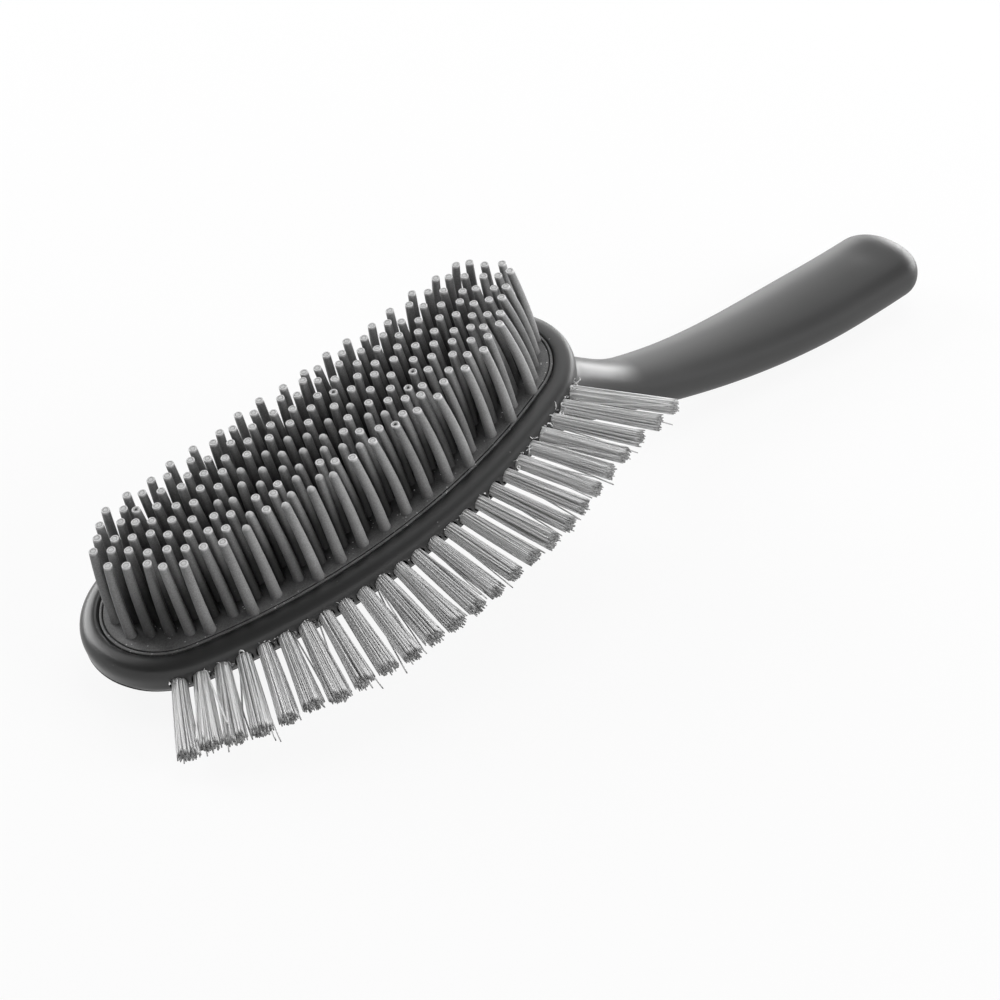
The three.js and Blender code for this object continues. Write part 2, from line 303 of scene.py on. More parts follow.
# Dust and polish of the plastic: X between which they come or go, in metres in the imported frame
HEAD_FADE = (-0.01, 0.01)
TIP_POLISH_FADE = (-0.09, -0.04)
THROAT_POLISH_RISE = (-0.002, 0.006)
THROAT_POLISH_FADE = (0.01, 0.03)
THROAT_POLISH = 0.55
SPECK_CORE = 0.6  # share of a dust speck's radius that is solid

# Floor and backdrop, in metres: the level rings, then how the floor rises into the backdrop
FLOOR_RADII = (0.01, 1, 4)
FLOOR_SIDES = 64
SWEEP_START = 7.0
SWEEP_ROUND = 2.0
SWEEP_BEND = 1.5
SWEEP_STEPS = 9
SWEEP_SPREAD = 0.5
SWEEP_HEIGHT = 4.5
FLOOR_GLOW = 0.9  # of the floor at the brush, and the distances between which it becomes full
GLOW_RISE = (0.35, 1.1)
WORLD_STRENGTH = 0.06

# Camera, in metres and degrees
CAMERA_PLACE = (-0.22543, -0.22607, 0.24487)
CAMERA_TURN = (51.86, -0.62, -40.861)
CAMERA_LENS = 63.43
CAMERA_SENSOR = 36
CAMERA_NEAR = 0.01

# Colour sockets of a Mix node, by number because its sockets of other kinds have the same names
MIX_FIRST = 6
MIX_SECOND = 7
MIX_RESULT = 2

head_end = HEAD_LENGTH / 2
far_corner = STRAIGHT_REACH - TIP_LEVEL
far_corner_x = head_end - far_corner
edge_centre = TUFTED_EDGE_RADIUS - TUFTED_REACH
near_corner = (TUFTED_EDGE_RADIUS**2 - head_end**2 - (edge_centre - TIP_LEVEL) ** 2) / (
    2 * (TUFTED_EDGE_RADIUS - head_end)
)
near_corner_x = head_end - near_corner
edge_angle = math.atan2(near_corner_x, edge_centre - TIP_LEVEL)
recess_floor = -PAD_THICKNESS - CLEARANCE
turn_inset = WALL_ROUND * (1 - math.cos(WALL_TURN))
turn_depth = WALL_DEPTH + WALL_ROUND * math.sin(WALL_TURN)


# The pad's frame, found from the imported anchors, which all lie in one plane along the tufted edge


def numbered(kind, number):
    return f"{kind}_{number + 1:02d}"


def tuft_seat(number):
    """Where a tuft leaves the wall, and its own axes as rows: level along the edge, up, and along it."""
    run = (number - (TUFTS - 1) / 2) * TUFT_PITCH + TUFT_SHIFT
    turn = run / TUFTED_EDGE_RADIUS
    fan = TUFT_FAN * turn
    across = edge_centre - TUFTED_EDGE_RADIUS * math.cos(turn)
    place = np.array([TUFTED_EDGE_RADIUS * math.sin(turn), across, -TUFT_DEPTH])
    along = np.array([math.sin(fan), -math.cos(fan), -math.tan(TUFT_DROOP)])
    along /= np.linalg.norm(along)
    level = np.cross([0, 0, 1], along)
    level /= np.linalg.norm(level)
    return place, np.array([level, np.cross(along, level), along])


def anchor_middle(number):
    low, high = (np.array(corner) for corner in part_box(numbered("anchor", number)))
    return (low + high) / 2 / MILLIMETRE


def pad_frame():
    """The turn and the place of the pad's frame, in millimetres."""
    along = anchor_middle(TUFTS - 1) - anchor_middle(0)
    tilt = -math.atan2(along[2], along[0])
    turn = np.array(Matrix.Rotation(tilt, 3, "Y"))
    place, axes = tuft_seat(0)
    depth = HOLE_DEPTH - CLEARANCE - ANCHOR_HEIGHT / 2
    return turn, anchor_middle(0) - turn @ (place - depth * axes[2])


pad_turn, pad_place = pad_frame()


def laid(points):
    """Points of the pad's frame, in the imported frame."""
    return (np.asarray(points) @ pad_turn.T + pad_place) * MILLIMETRE


# Meshes


def mesh_object(name, points, faces):
    """A smooth mesh of points in metres, as an object of the scene."""
    mesh = bpy.data.meshes.new(name)
    mesh.from_pydata(points.tolist(), [], faces)
    mesh.shade_smooth()
    made = bpy.data.objects.new(name, mesh)
    bpy.context.collection.objects.link(made)
    return made


def piece(name, points, faces, material, replaces=None, values=None):
    """A mesh piece that rides with the brush. values are numbers on its points, by name."""
    made = mesh_object(name, laid(points), faces)
    for key, numbers in (values or {}).items():
        made.data.attributes.new(key, "FLOAT", "POINT").data.foreach_set("value", np.ravel(numbers))
    made.data.materials.append(material)
    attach(made, "root")
    if replaces:
        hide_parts(replaces)
    return made


def turns(count):
    """Angles that divide a full turn evenly."""
    return np.arange(count) / count * FULL_TURN


def strip(near, far):
    """Quads between rings of points that lie side by side, given by the points' numbers."""
    quads = np.stack([near, np.roll(near, -1, axis=-1), np.roll(far, -1, axis=-1), far], axis=-1)
    return quads.reshape(-1, 4).tolist()


def closed_tube(index):
    """Faces of a tube whose rings are the rows of index, with both ends closed."""
    return strip(index[:-1], index[1:]) + [index[-1].tolist(), index[0, ::-1].tolist()]


def ringed(path, first, second, sides):
    """Rings of points round the points of a path. first and second are each ring's half axes."""
    angles = turns(sides)[:, None]
    return path[:, None] + np.cos(angles) * first[:, None] + np.sin(angles) * second[:, None]


def tubes(paths, radii, sides):
    """Points and faces of many round tubes, whose rings lie level.

    paths is (tubes, rings, 3) and radii (tubes, rings).
    """
    angles = turns(sides)
    circle = np.stack([np.cos(angles), np.sin(angles), np.zeros(sides)], axis=1)
    points = paths[:, :, None, :] + radii[:, :, None, None] * circle
    index = np.arange(radii.size * sides).reshape(*radii.shape, sides)
    faces = strip(index[:, :-1], index[:, 1:])
    faces += index[:, -1].tolist()
    faces += index[:, 0, ::-1].tolist()
    return points.reshape(-1, 3), faces


def joined(meshes):
    """Points and faces of several meshes as one."""
    points = []
    faces = []
    start = 0
    for own_points, own_faces in meshes:
        points.append(own_points)
        faces += [[corner + start for corner in face] for face in own_faces]
        start += len(own_points)
    return np.concatenate(points), faces


# Outline of the head


def outline_inset(x, y):
    """How far inside the head's outline a place is."""
    x = np.abs(x)
    far = np.where(
        (x > far_corner_x) & (y >= TIP_LEVEL),
        far_corner - np.hypot(x - far_corner_x, y - TIP_LEVEL),
        STRAIGHT_REACH - y,
    )
    in_arc = np.arctan2(x, edge_centre - y) < edge_angle
    arc = TUFTED_EDGE_RADIUS - np.hypot(x, y - edge_centre)
    corner = near_corner - np.hypot(x - near_corner_x, y - TIP_LEVEL)
    near = np.where(in_arc, arc, np.where(y < TIP_LEVEL, corner, far))
    return np.minimum(far, near)


def outline(inset, z):
    """A ring of points round the head's outline, drawn in by an inset."""
    down = -math.pi / 2
    arcs = [
        (-far_corner_x, TIP_LEVEL, far_corner, math.pi / 2, math.pi, CORNER_STEPS),
        (-near_corner_x, TIP_LEVEL, near_corner, math.pi, FULL_TURN + down - edge_angle, CORNER_STEPS),
        (0, edge_centre, TUFTED_EDGE_RADIUS, down - edge_angle, down + edge_angle, EDGE_STEPS),
        (near_corner_x, TIP_LEVEL, near_corner, down + edge_angle, 0, CORNER_STEPS),
        (far_corner_x, TIP_LEVEL, far_corner, 0, math.pi / 2, CORNER_STEPS),
    ]
    ring = []
    for x, y, radius, start, end, steps in arcs:
        for angle in np.linspace(start, end, steps + 1)[1 if ring else 0 :]:
            reach = radius - inset
            ring.append((x + reach * math.cos(angle), y + reach * math.sin(angle), z))
    return np.array(ring)


# Body: fields of distances for the head and the handle, blended, and a skin on their zero level


def head_profile():
    """The head's section, from the recess over the rim and round under the back.

    Each point is its inset from the wall, and its height.
    """
    deep = head_end
    inner = RIM_HEIGHT - RIM_INNER_DROP
    inner_inset = RIM_WIDTH - RIM_INNER_ROUND
    foot = inner - RIM_INNER_ROUND * (1 - math.cos(RIM_INNER_SLOPE))
    foot_inset = inner_inset + RIM_INNER_ROUND * math.sin(RIM_INNER_SLOPE)
    recess_inset = foot_inset + (foot - recess_floor) / math.tan(RIM_INNER_SLOPE)
    points = [(deep, recess_floor), (recess_inset, recess_floor)]
    for angle in np.linspace(RIM_INNER_SLOPE, 0, INNER_STEPS):
        inset = inner_inset + RIM_INNER_ROUND * math.sin(angle)
        points.append((inset, inner - RIM_INNER_ROUND * (1 - math.cos(angle))))
    for share in np.linspace(1, 0, CREST_STEPS)[1:]:
        inset = RIM_CREST + (inner_inset - RIM_CREST) * share
        points.append((inset, RIM_HEIGHT - RIM_INNER_DROP * share**2))
    for angle in np.linspace(0, math.pi / 2, SHOULDER_STEPS)[1:]:
        out = RIM_CREST * math.sin(angle) ** (2 / RIM_POWER)
        drop = RIM_SHOULDER * (1 - max(math.cos(angle), 0) ** (2 / RIM_POWER))
        points.append((RIM_CREST - out, RIM_HEIGHT - drop))
    for angle in np.linspace(0, WALL_TURN, TURN_STEPS):
        inset = WALL_ROUND * (1 - math.cos(angle))
        points.append((inset, -WALL_DEPTH - WALL_ROUND * math.sin(angle)))
    dome_depth = BACK_DEPTH - turn_depth
    for share in np.linspace(0, 1, DOME_STEPS)[1:]:
        inset = turn_inset + 2 * dome_depth * math.tan(WALL_TURN) * share
        points.append((inset, -turn_depth - dome_depth * share * (2 - share)))
    points.append((deep, -BACK_DEPTH))
    return np.array(points)


class Table:
    """Values on a level grid, read between its points by blending the four nearest."""

    def __init__(self, low, step, values):
        self.low = low
        self.step = step
        self.values = values

    def __call__(self, u, v):
        shape = self.values.shape
        u = np.clip((u - self.low[0]) / self.step, 0, shape[0] - LAST_CELL)
        v = np.clip((v - self.low[1]) / self.step, 0, shape[1] - LAST_CELL)
        i = u.astype(int)
        j = v.astype(int)
        u = u - i
        v = v - j
        near = self.values[i, j] * (1 - v) + self.values[i, j + 1] * v
        far = self.values[i + 1, j] * (1 - v) + self.values[i + 1, j + 1] * v
        return near * (1 - u) + far * u


def grid(low, high, step):
    axes = [np.arange(start, end, step) for start, end in zip(low, high)]
    return np.meshgrid(*axes, indexing="ij")


def section_table(profile, low, high, step):
    """Signed distance to a closed section, negative inside."""
    u, v = grid(low, high, step)
    nearest = np.full(u.shape, np.inf)
    inside = np.zeros(u.shape, bool)
    for (ax, ay), (bx, by) in zip(profile, np.roll(profile, -1, axis=0)):
        length = (bx - ax) ** 2 + (by - ay) ** 2
        share = np.clip(((u - ax) * (bx - ax) + (v - ay) * (by - ay)) / length, 0, 1)
        distance = np.hypot(u - ax - share * (bx - ax), v - ay - share * (by - ay))
        nearest = np.minimum(nearest, distance)
        if ay != by:
            crossing = ax + (v - ay) / (by - ay) * (bx - ax)
            inside ^= ((v < ay) != (v < by)) & (u < crossing)
    return Table(low, step, np.where(inside, -nearest, nearest))


def smooth_step(value, low, high):
    share = np.clip((value - low) / (high - low), 0, 1)
    return share * share * (3 - 2 * share)


def handle_width(run):
    most = ROOT_WIDTH - NECK_WIDTH
    flare = most * (1 - np.exp(-np.maximum(NECK_RUN - run, 0) ** 2 / NECK_FLARE / most))
    return NECK_WIDTH + flare + (GRIP_WIDTH - NECK_WIDTH) * smooth_step(run, NECK_RUN, GRIP_RUN)


def handle_thickness(run):
    to_neck = ROOT_THICKNESS + (NECK_THICKNESS - ROOT_THICKNESS) * smooth_step(run, 0, NECK_RUN)
    return to_neck + (GRIP_THICKNESS - NECK_THICKNESS) * smooth_step(run, NECK_RUN, GRIP_RUN)


def spine_points():
    """The handle's spine, a cubic curve in the plane of X and Z."""
    root = np.array([head_end - SPINE_SETBACK, -SPINE_ROOT_DEPTH])
    end = np.array([head_end + HANDLE_REACH, -HANDLE_DROP])
    lead = root + [SPINE_LEAD_OUT, 0]
    trail = end + [-END_RUN, END_RISE]
    t = np.linspace(0, 1, SPINE_STEPS)[:, None]
    return (1 - t) ** 3 * root + 3 * t * (1 - t) ** 2 * lead + 3 * t * t * (1 - t) * trail + t**3 * end


def spine_tables(low, high, step):
    """How far along the spine each place of the side view lies, how far above it, and its length."""
    spine = spine_points()
    lengths = np.hypot(*np.diff(spine, axis=0).T)
    runs = np.concatenate([[0], np.cumsum(lengths)])
    x, z = grid(low, high, step)
    best = np.full(x.shape, np.inf)
    run = np.zeros(x.shape)
    above = np.zeros(x.shape)
    last = len(lengths) - 1
    for n, (a, b) in enumerate(zip(spine[:-1], spine[1:])):
        step_x, step_z = (b - a) / lengths[n]
        along = (x - a[0]) * step_x + (z - a[1]) * step_z
        lowest = -np.inf if n == 0 else 0
        highest = np.inf if n == last else lengths[n]
        held = np.clip(along, lowest, highest)
        side = (z - a[1]) * step_x - (x - a[0]) * step_z
        distance = np.hypot(along - held, side)
        nearer = distance < best
        best = np.where(nearer, distance, best)
        run = np.where(nearer, runs[n] + held, run)
        above = np.where(nearer, np.copysign(distance, side), above)
    return Table(low, step, run), Table(low, step, above), runs[-1]


class BodyField:
    """Signed distances, near enough, to the body's surface."""

    low = np.array([-head_end - FIELD_MARGIN, -TUFTED_REACH - FIELD_MARGIN, -HANDLE_DROP - FIELD_UNDER])
    high = np.array([head_end + HANDLE_REACH, STRAIGHT_REACH, RIM_HEIGHT]) + FIELD_MARGIN

    def __init__(self):
        section_low = (-SECTION_OUT, -BACK_DEPTH - SECTION_UNDER)
        section_high = (SECTION_IN, RIM_HEIGHT + SECTION_OVER)
        self.section = section_table(head_profile(), section_low, section_high, SECTION_STEP)
        side_low = self.low[[0, 2]] - SIDE_MARGIN
        side_high = self.high[[0, 2]] + SIDE_MARGIN
        self.run, self.above, self.length = spine_tables(side_low, side_high, VOXEL)

    def handle(self, x, y, z):
        run = self.run(x, z)
        above = self.above(x, z)
        under = handle_thickness(run) / 2
        fall = smooth_step(run, 0, THROAT_START) - smooth_step(run, THROAT_START, THROAT_END)
        thick = np.where(above > 0, under + THROAT_RISE * fall, under)
        bulge = smooth_step(run, BULGE_START, BULGE_MOST) - smooth_step(run, BULGE_MOST, BULGE_END)
        wide = handle_width(run) / 2 + np.where(y < 0, NECK_BULGE * bulge, 0)
        oval = (np.abs(y) / wide) ** OVAL_POWER + (np.abs(above) / thick) ** OVAL_POWER
        past_end = np.maximum(run - self.length + END_ROUND, 0) / END_ROUND
        before_root = np.maximum(-run, 0) / ROOT_THICKNESS
        reach = np.sqrt(oval ** (2 / OVAL_POWER) + past_end**2 + before_root**2)
        from_sink = (run - SINK_RUN) ** 2 + (y - SINK_Y) ** 2
        sink = np.where(above > 0, SINK_DEPTH * np.exp(-from_sink / SINK_RADIUS**2), 0)
        return (reach - 1) * under + sink

    def __call__(self, x, y, z):
        inset, z = np.broadcast_arrays(outline_inset(x, y), z)
        head = self.section(inset, z)
        handle = self.handle(x, y, z)
        fillet = FILLET_LEAST + NECK_FILLET * smooth_step(-z, FILLET_START, FILLET_FULL)
        share = np.clip(0.5 + 0.5 * (handle - head) / fillet, 0, 1)
        return handle + (head - handle) * share - fillet * share * (1 - share)


CELL_CORNERS = np.array([(i, j, k) for i in (0, 1) for j in (0, 1) for k in (0, 1)])


def skin(field, low, high, step):
    """Points and quads on the zero level of a field: one point in each cell that the surface crosses."""
    axes = [np.arange(a, b, step) for a, b in zip(low, high)]
    x, y, z = np.meshgrid(*axes, indexing="ij", sparse=True)
    values = field(x, y, z)
    inside = values < 0
    cells = tuple(size - 1 for size in values.shape)
    total = np.zeros(cells, np.int8)
    for i, j, k in CELL_CORNERS:
        total += inside[i : i + cells[0], j : j + cells[1], k : k + cells[2]]
    crossed = np.argwhere((total > 0) & (total < len(CELL_CORNERS)))
    number = np.full(cells, -1)
    number[tuple(crossed.T)] = np.arange(len(crossed))
    corner_values = [values[tuple((crossed + corner).T)] for corner in CELL_CORNERS]
    middle = np.zeros((len(crossed), 3))
    hits = np.zeros(len(crossed))
    for a, first in enumerate(CELL_CORNERS):
        for b, second in enumerate(CELL_CORNERS):
            if b <= a or np.abs(first - second).sum() != 1:
                continue
            change = (corner_values[a] < 0) != (corner_values[b] < 0)
            gap = np.where(change, corner_values[a] - corner_values[b], 1)
            share = np.where(change, corner_values[a] / gap, 0)
            middle += np.where(change[:, None], first + share[:, None] * (second - first), 0)
            hits += change
    points = low + (crossed + middle / hits[:, None]) * step
    faces = []
    ahead = np.eye(3, dtype=int)
    for axis in range(3):
        beside, above = (axis + 1) % 3, (axis + 2) % 3
        edges = np.argwhere(np.diff(inside.astype(np.int8), axis=axis) != 0)
        edges = edges[(edges[:, beside] > 0) & (edges[:, above] > 0)]
        around = [edges - ahead[beside] - ahead[above], edges - ahead[above], edges, edges - ahead[beside]]
        quads = np.stack([number[tuple(cell.T)] for cell in around], axis=1)
        leaving = inside[tuple(edges.T)]
        faces.append(np.where(leaving[:, None], quads, quads[:, ::-1]))
    return points, np.concatenate(faces)


def settled(points, field):
    """Points moved onto a field's zero level, along its slope."""
    for _ in range(SETTLE_STEPS):
        value = field(*points.T)
        ways = SETTLE_REACH * np.eye(3)
        changes = [field(*(points + way).T) - field(*(points - way).T) for way in ways]
        slope = np.stack(changes, axis=1) / (2 * SETTLE_REACH)
        steepness = np.maximum((slope**2).sum(axis=1), LEAST_SLOPE)
        move = -np.clip(value / steepness, -VOXEL / 4, VOXEL / 4)
        points = points + move[:, None] * slope
    return points


def make_body(material):
    field = BodyField()
    points, faces = skin(field, field.low, field.high, VOXEL)
    points = settled(points, field)
    return piece("body", points, faces.tolist(), material, "brush_body")


def drill_tuft_holes(body):
    """Cuts the tufts' holes into the body's wall."""
    path = np.array([[[0, 0, -HOLE_DEPTH], [0, 0, HOLE_DIAMETER]]])
    points, faces = tubes(path, np.full((1, 2), HOLE_DIAMETER / 2), HOLE_SIDES)
    drills = []
    for number in range(TUFTS):
        place, axes = tuft_seat(number)
        drills.append((place + points @ axes, faces))
    points, faces = joined(drills)
    drill = mesh_object("drill", laid(points), faces)
    cut = body.modifiers.new("holes", "BOOLEAN")
    cut.operation = "DIFFERENCE"
    cut.solver = "EXACT"
    cut.object = drill
    bpy.context.view_layer.update()
    drilled = body.evaluated_get(bpy.context.evaluated_depsgraph_get())
    body.data = bpy.data.meshes.new_from_object(drilled)
    body.modifiers.clear()
    bpy.data.objects.remove(drill)
    body.data.shade_smooth()
    body.data.set_sharp_from_angle(angle=BODY_SHARP)


def make_parting_line(material):
    """The fine bead round the foot of the wall, where the halves of the mould met."""
    ring = outline(0, 0)
    inward = outline(1, 0) - ring
    turn = WALL_TURN + (PARTING_TURN - WALL_TURN) * smooth_step(ring[:, 1], *PARTING_DIP)
    ring += WALL_ROUND * (1 - np.cos(turn))[:, None] * inward
    ring[:, 2] -= WALL_DEPTH + WALL_ROUND * np.sin(turn)
    ahead = np.roll(ring, -1, axis=0) - np.roll(ring, 1, axis=0)
    ahead /= np.linalg.norm(ahead, axis=1)[:, None]
    level = np.cross(ahead, [0, 0, -1])
    upward = np.broadcast_to([0, 0, 1], ring.shape)
    points = ringed(ring, PARTING_RADIUS * level, PARTING_RADIUS * upward, PARTING_SIDES)
    index = np.arange(len(ring) * PARTING_SIDES).reshape(-1, PARTING_SIDES)
    faces = strip(index, np.roll(index, -1, axis=0))
    piece("parting-line", points.reshape(-1, 3), faces, material)


# Rubber pad


def pin_feet():
    step = PIN_SPACING / math.sqrt(2)
    most = math.ceil(HEAD_LENGTH / step)
    line = np.arange(-most, most + 1)
    column, row = (numbers.ravel() for numbers in np.meshgrid(line, line))
    feet = np.stack([column * step + PIN_SHIFT, row * step], axis=1)[(row + column) % 2 != 0]
    return feet[outline_inset(*feet.T) > RIM_WIDTH + CLEARANCE + PIN_EDGE]


def pin_leans(feet, random):
    """How far each pin's top stands from over its foot: inwards, as on a slightly dished pad."""
    x = feet[:, 0] - PIN_SHIFT
    y = feet[:, 1]
    tip_end = np.maximum(-x - TIP_LEAN_START, 0)
    tufted_side = np.maximum(-y, 0) * smooth_step(x, *TUFTED_LEAN_RISE)
    straight_side = np.maximum(y - STRAIGHT_LEAN_START, 0) * smooth_step(x, *STRAIGHT_LEAN_RISE)
    corner = np.maximum(x - CORNER_LEAN_START, 0) * smooth_step(-y, *CORNER_LEAN_RISE)
    along = LEAN_TO_TIP + LEAN_ALONG * np.minimum(x, LEAN_ALONG_END)
    along += TIP_LEAN_SQUARED * tip_end**2
    along += TUFTED_LEAN * tufted_side
    along += STRAIGHT_LEAN * straight_side
    along += CORNER_LEAN_ALONG * corner
    across = LEAN_ACROSS * y + LEAN_ACROSS_CUBED * y**3
    across += CORNER_LEAN_ACROSS * corner
    return np.stack([along, across], axis=1) + random.normal(0, LEAN_CHANGE, feet.shape)


def pins(random):
    """Points, faces and values of the pins: a flared foot, a taper, and a flat top with a moulded ring."""
    feet = pin_feet()
    count = len(feet)
    leans = pin_leans(feet, random)
    lengths = PIN_LENGTH + PIN_GROWTH * feet[:, 0] + random.normal(0, PIN_LENGTH_CHANGE, count)
    stem, flare = np.array(PIN_STEM).T
    stem_radius = (PIN_FOOT + (PIN_TOP - PIN_FOOT) * np.clip(stem, 0, 1)) / 2 * flare
    top, flat, flat_tone, worn_tone = np.array(PIN_TOP_RINGS).T
    domed = -WORN_DOME * PIN_TOP / 2 * (1 - np.sqrt(1 - top**2))
    from_patch = (feet - [WORN_X, WORN_Y]) / [WORN_HALF_LENGTH, WORN_HALF_WIDTH]
    worn_and_lit_top = np.hypot(*from_patch.T) < 1
    worn_and_lit_top &= random.random(count) < WORN_SHARE
    tops = lengths[:, None] + np.where(worn_and_lit_top[:, None], domed, flat)
    height = np.concatenate([lengths[:, None] * stem, tops], axis=1)
    pitted = (random.random(count) < PITTED_SHARE) & ~worn_and_lit_top
    height[pitted, -1] -= PIT_DEPTH
    radii = np.broadcast_to(np.concatenate([stem_radius, PIN_TOP / 2 * top]), height.shape).copy()
    radii[pitted, -2] *= PIT_EDGE
    radii[pitted, -1] *= PIT_FLOOR
    share = np.clip(height / lengths[:, None], 0, 1)
    bend = PIN_BEND * share + (1 - PIN_BEND) * share**2
    paths = np.empty(height.shape + (3,))
    paths[..., :2] = feet[:, None] + bend[..., None] * leans[:, None]
    paths[..., 2] = height
    points, faces = tubes(paths, radii, PIN_SIDES)
    # The tops' paleness is partly the cut rubber's tone and partly painted light from above
    tip = np.zeros(height.shape)
    tip[:, len(stem) :] = np.where(worn_and_lit_top[:, None], worn_tone, flat_tone)
    # A pit's floor is painted near black, as shade
    tip[pitted, -1] = -1
    shade = np.broadcast_to(random.random(count)[:, None], height.shape)
    # Painted shade: darker among the pins away from the outline, fading up their height, and darker at
    # every pin's foot
    among = smooth_step(outline_inset(*feet.T), PAINTED_SHADE_START, PAINTED_SHADE_FULL)[:, None]
    among = among * (1 - smooth_step(share, *PAINTED_SHADE_FADE))
    at_foot = FOOT_PAINTED_SHADE - FOOT_PAINTED_SHADE * smooth_step(share, 0, FOOT_PAINTED_SHADE_REACH)
    values = {"tip": tip, "shade": shade, "painted_shade": np.maximum(among, at_foot)}
    return points, faces, {key: np.repeat(numbers.ravel(), PIN_SIDES) for key, numbers in values.items()}


def sheet():
    """Points and faces of the pad's sheet, with the groove that runs round inside its lip."""
    edge = RIM_WIDTH + CLEARANCE
    groove = edge + LIP_WIDTH
    groove_end = groove + GROOVE_WIDTH
    profile = [
        (edge, -PAD_THICKNESS),
        (edge, -LIP_ROUND),
        (edge + LIP_ROUND_MIDDLE, -LIP_ROUND_MIDDLE),
        (edge + LIP_ROUND, 0),
        (groove - GROOVE_BEVEL, 0),
        (groove, -GROOVE_BEVEL),
        (groove, -GROOVE_DEPTH),
        (groove_end, -GROOVE_DEPTH),
        (groove_end, -GROOVE_BEVEL),
        (groove_end + GROOVE_BEVEL, 0),
        # Rings where the painted shade among the pins starts and becomes full
        (PAINTED_SHADE_START, 0),
        (PAINTED_SHADE_FULL, 0),
    ]
    rings = np.array([outline(inset, z) for inset, z in profile])
    index = np.arange(rings.size // 3).reshape(len(profile), -1)
    return rings.reshape(-1, 3), closed_tube(index)


def make_pad(material):
    sheet_points, sheet_faces = sheet()
    pin_points, pin_faces, pin_values = pins(np.random.default_rng(SEED))
    points, faces = joined([(sheet_points, sheet_faces), (pin_points, pin_faces)])
    count = len(sheet_points)
    values = {key: np.concatenate([np.zeros(count), numbers]) for key, numbers in pin_values.items()}
    values["sheet"] = np.concatenate([np.ones(count), np.zeros(len(pin_points))])
    # The groove's floor is painted near black, as shade
    values["tip"][:count] = np.where(sheet_points[:, 2] < -GROOVE_SHADE_DEPTH, -1, 0)
    # The sheet among the pins gets the same painted shade
    values["painted_shade"][:count] = smooth_step(outline_inset(*sheet_points[:, :2].T), PAINTED_SHADE_START, PAINTED_SHADE_FULL)
    pad = piece("pad", points, faces, material, "pin_pad", values)
    pad.data.set_sharp_from_angle(angle=PAD_SHARP)


# Tufts


def filaments(random, length, lean, splay):
    """Points, faces and values of one tuft's filaments, along its own Z from the wall's face.

    The golden angle spreads them evenly over the hole, and they part in two halves.
    """
    order = np.arange(FILAMENTS)
    radius = (HOLE_DIAMETER / 2 - CLEARANCE - FILAMENT_RADIUS) * np.sqrt((order + 0.5) / FILAMENTS)
    angle = order * math.pi * (3 - math.sqrt(5)) + random.normal(0, FILAMENT_TURN, FILAMENTS)
    root = np.stack([radius * np.cos(angle), radius * np.sin(angle)], axis=1)
    parting = random.random() * FULL_TURN
    across = np.array([math.cos(parting), math.sin(parting)])
    side = np.sign(root @ across - random.normal(0, PARTING_SHIFT))
    spread = root * [splay * random.uniform(*SPLAY_RANGE), random.uniform(*RISE_RANGE)]
    spread += side[:, None] * random.uniform(0, PARTING_GAP) * across
    spread += random.normal(0, FILAMENT_SPREAD, root.shape) + [lean, 0]
    stray = random.random(FILAMENTS) < STRAY_SHARE
    spread[stray] += random.normal(0, STRAY_SPREAD, (stray.sum(), 2)) + root[stray] * STRAY_OUT
    bow = random.normal(0, FILAMENT_BOW, root.shape)
    lengths = length + random.normal(0, FILAMENT_LENGTH_CHANGE, FILAMENTS)
    lengths -= CROWN * (radius / radius.max()) ** 2
    lengths[stray] += random.normal(0, STRAY_LENGTH_CHANGE, stray.sum())
    share, taper = np.array(FILAMENT_RINGS).T
    opening = share[:, None] ** FILAMENT_OPENING
    arch = (share * (1 - share) * 4)[:, None]
    start = -HOLE_DEPTH / 2
    paths = np.empty((FILAMENTS, len(share), 3))
    paths[..., :2] = root[:, None] + spread[:, None] * opening + bow[:, None] * arch
    paths[..., 2] = start + (lengths - start)[:, None] * share
    radii = np.outer(FILAMENT_RADIUS * random.uniform(*FILAMENT_RADIUS_RANGE, FILAMENTS), taper)
    points, faces = tubes(paths, radii, FILAMENT_SIDES)
    shade = np.repeat(random.random(FILAMENTS), len(share) * FILAMENT_SIDES)
    # The cut ends are painted dark, as shade
    end = np.outer(random.uniform(*END_PAINTED_SHADE, FILAMENTS), share == 1)
    return points, faces, {"shade": shade, "end": np.repeat(end.ravel(), FILAMENT_SIDES)}


def make_tufts(material):
    for number in range(TUFTS):
        random = np.random.default_rng(SEED + 1 + number)
        along_row = number / (TUFTS - 1)
        near_handle = max(0, 1 - (TUFTS - 1 - number) / HANDLE_TUFTS)
        near_tip = max(0, 1 - number / TIP_TUFTS)
        length = TUFT_LENGTH + HANDLE_TUFT_EXTRA * near_handle**HANDLE_TUFT_POWER
        length += random.normal(0, TUFT_LENGTH_CHANGE)
        length -= TIP_TUFT_CUT * near_tip
        lean = FIRST_TUFT_LEAN * max(0, 1 - number / LEANING_TUFTS)
        splay = TIP_TUFT_SPLAY + (HANDLE_TUFT_SPLAY - TIP_TUFT_SPLAY) * along_row
        points, faces, values = filaments(random, length, lean, splay)
        place, axes = tuft_seat(number)
        node = numbered("tuft", number)
        name = node.replace("_", "-")
        piece(name, place + points @ axes, faces, material, node, values)


# Burrs


